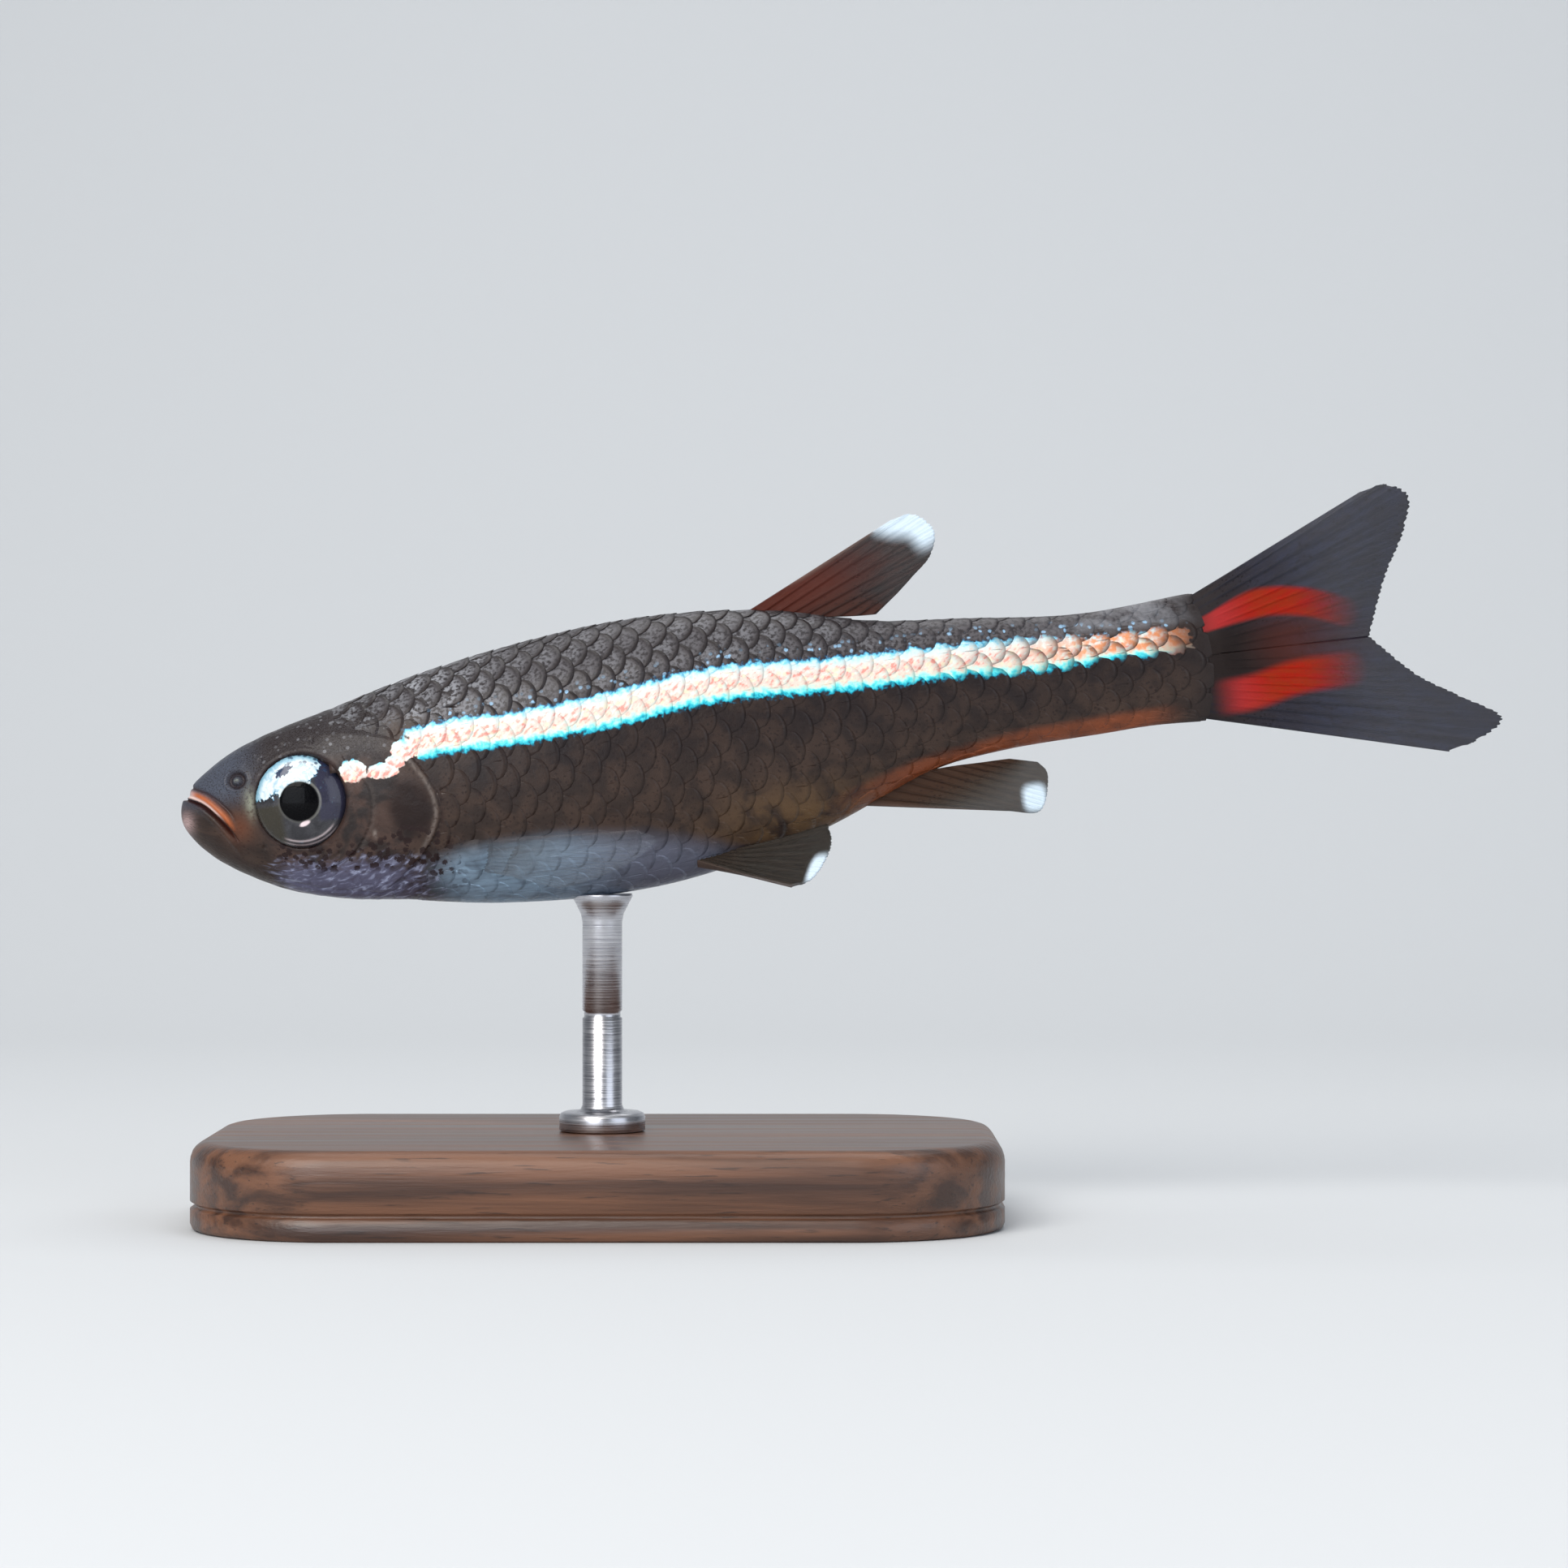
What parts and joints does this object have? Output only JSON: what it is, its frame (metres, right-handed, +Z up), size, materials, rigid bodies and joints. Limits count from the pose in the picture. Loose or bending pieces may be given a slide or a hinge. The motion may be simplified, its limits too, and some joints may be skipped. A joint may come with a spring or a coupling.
{
  "type": "white cloud mountain minnow model",
  "caption": "Life-size model of a white cloud mountain minnow, swimming slightly head down, held over a flat display base by a short rod.",
  "frame": {"origin": "on the table under the middle of the model's box", "axes": "the fish faces -X, its left side is towards -Y, +Z is up"},
  "size_m": [0.0399, 0.015, 0.0222],
  "materials": {
    "skin": "wet scaled skin, grey-brown back, dark brown flank, blue-white stripe and silver-blue belly",
    "eye": "clear cornea over a silver iris and a black pupil",
    "fin": "thin smoky membrane with rays, red by the tail root and white at the dorsal, anal and pelvic tips",
    "base_wood": "dark satin hardwood",
    "rod_steel": "fine brushed"
  },
  "bodies": {
    "root": {"head": "skin", "lower_jaw": "skin", "gill_cover_left": "skin", "gill_cover_right": "skin", "trunk": "skin", "tail_stem": "skin", "eye_left": "eye", "eye_right": "eye", "dorsal_fin": "fin", "anal_fin": "fin", "pelvic_fin_left": "fin", "pelvic_fin_right": "fin", "pectoral_fin_left": "fin", "pectoral_fin_right": "fin", "tail_fin_upper": "fin", "tail_fin_lower": "fin", "stand_base": "base_wood", "stand_rod": "rod_steel"}
  },
  "joints": []
}
